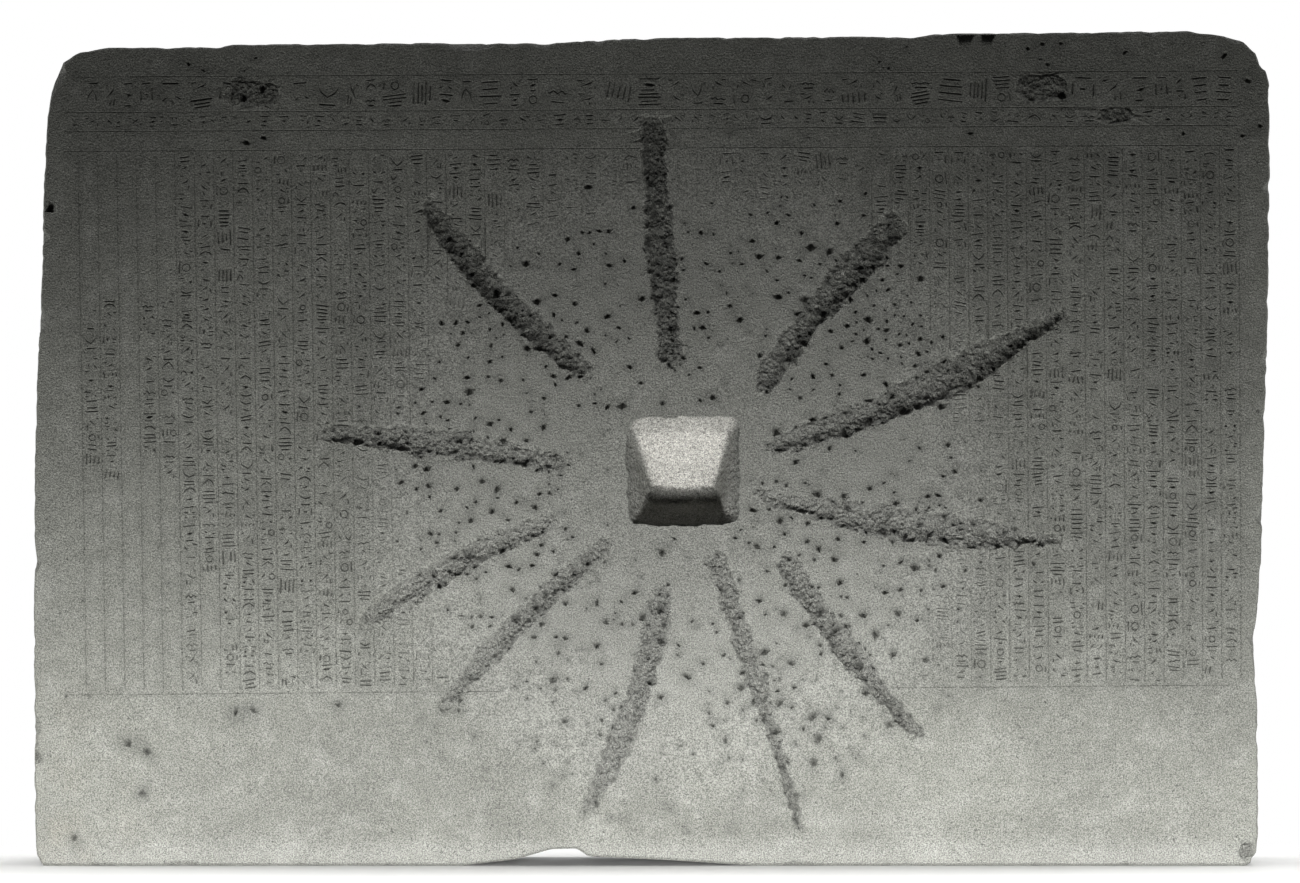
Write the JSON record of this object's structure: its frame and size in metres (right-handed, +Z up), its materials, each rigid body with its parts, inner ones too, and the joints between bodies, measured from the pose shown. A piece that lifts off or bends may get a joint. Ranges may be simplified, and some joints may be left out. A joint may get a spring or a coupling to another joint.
{
  "type": "carved stone stele",
  "caption": "Upright slab of dark stone with a worn inscribed face, a squarish socket sunk in it and furrows that run out from the socket.",
  "frame": {"origin": "on the ground under the middle of the slab's box, so Z = 0 is the plane it stands on", "axes": "+X to the right as the carved face is looked at, +Y from the carved face to the plain back, +Z up"},
  "size_m": [1.372, 0.12, 0.926],
  "materials": {
    "dark_stone": "dark grey-green hard stone, rubbed smooth where it was ground, pecked in the furrows, with a dull sheen"
  },
  "bodies": {
    "root": {"stele_slab": "dark_stone"}
  },
  "joints": []
}
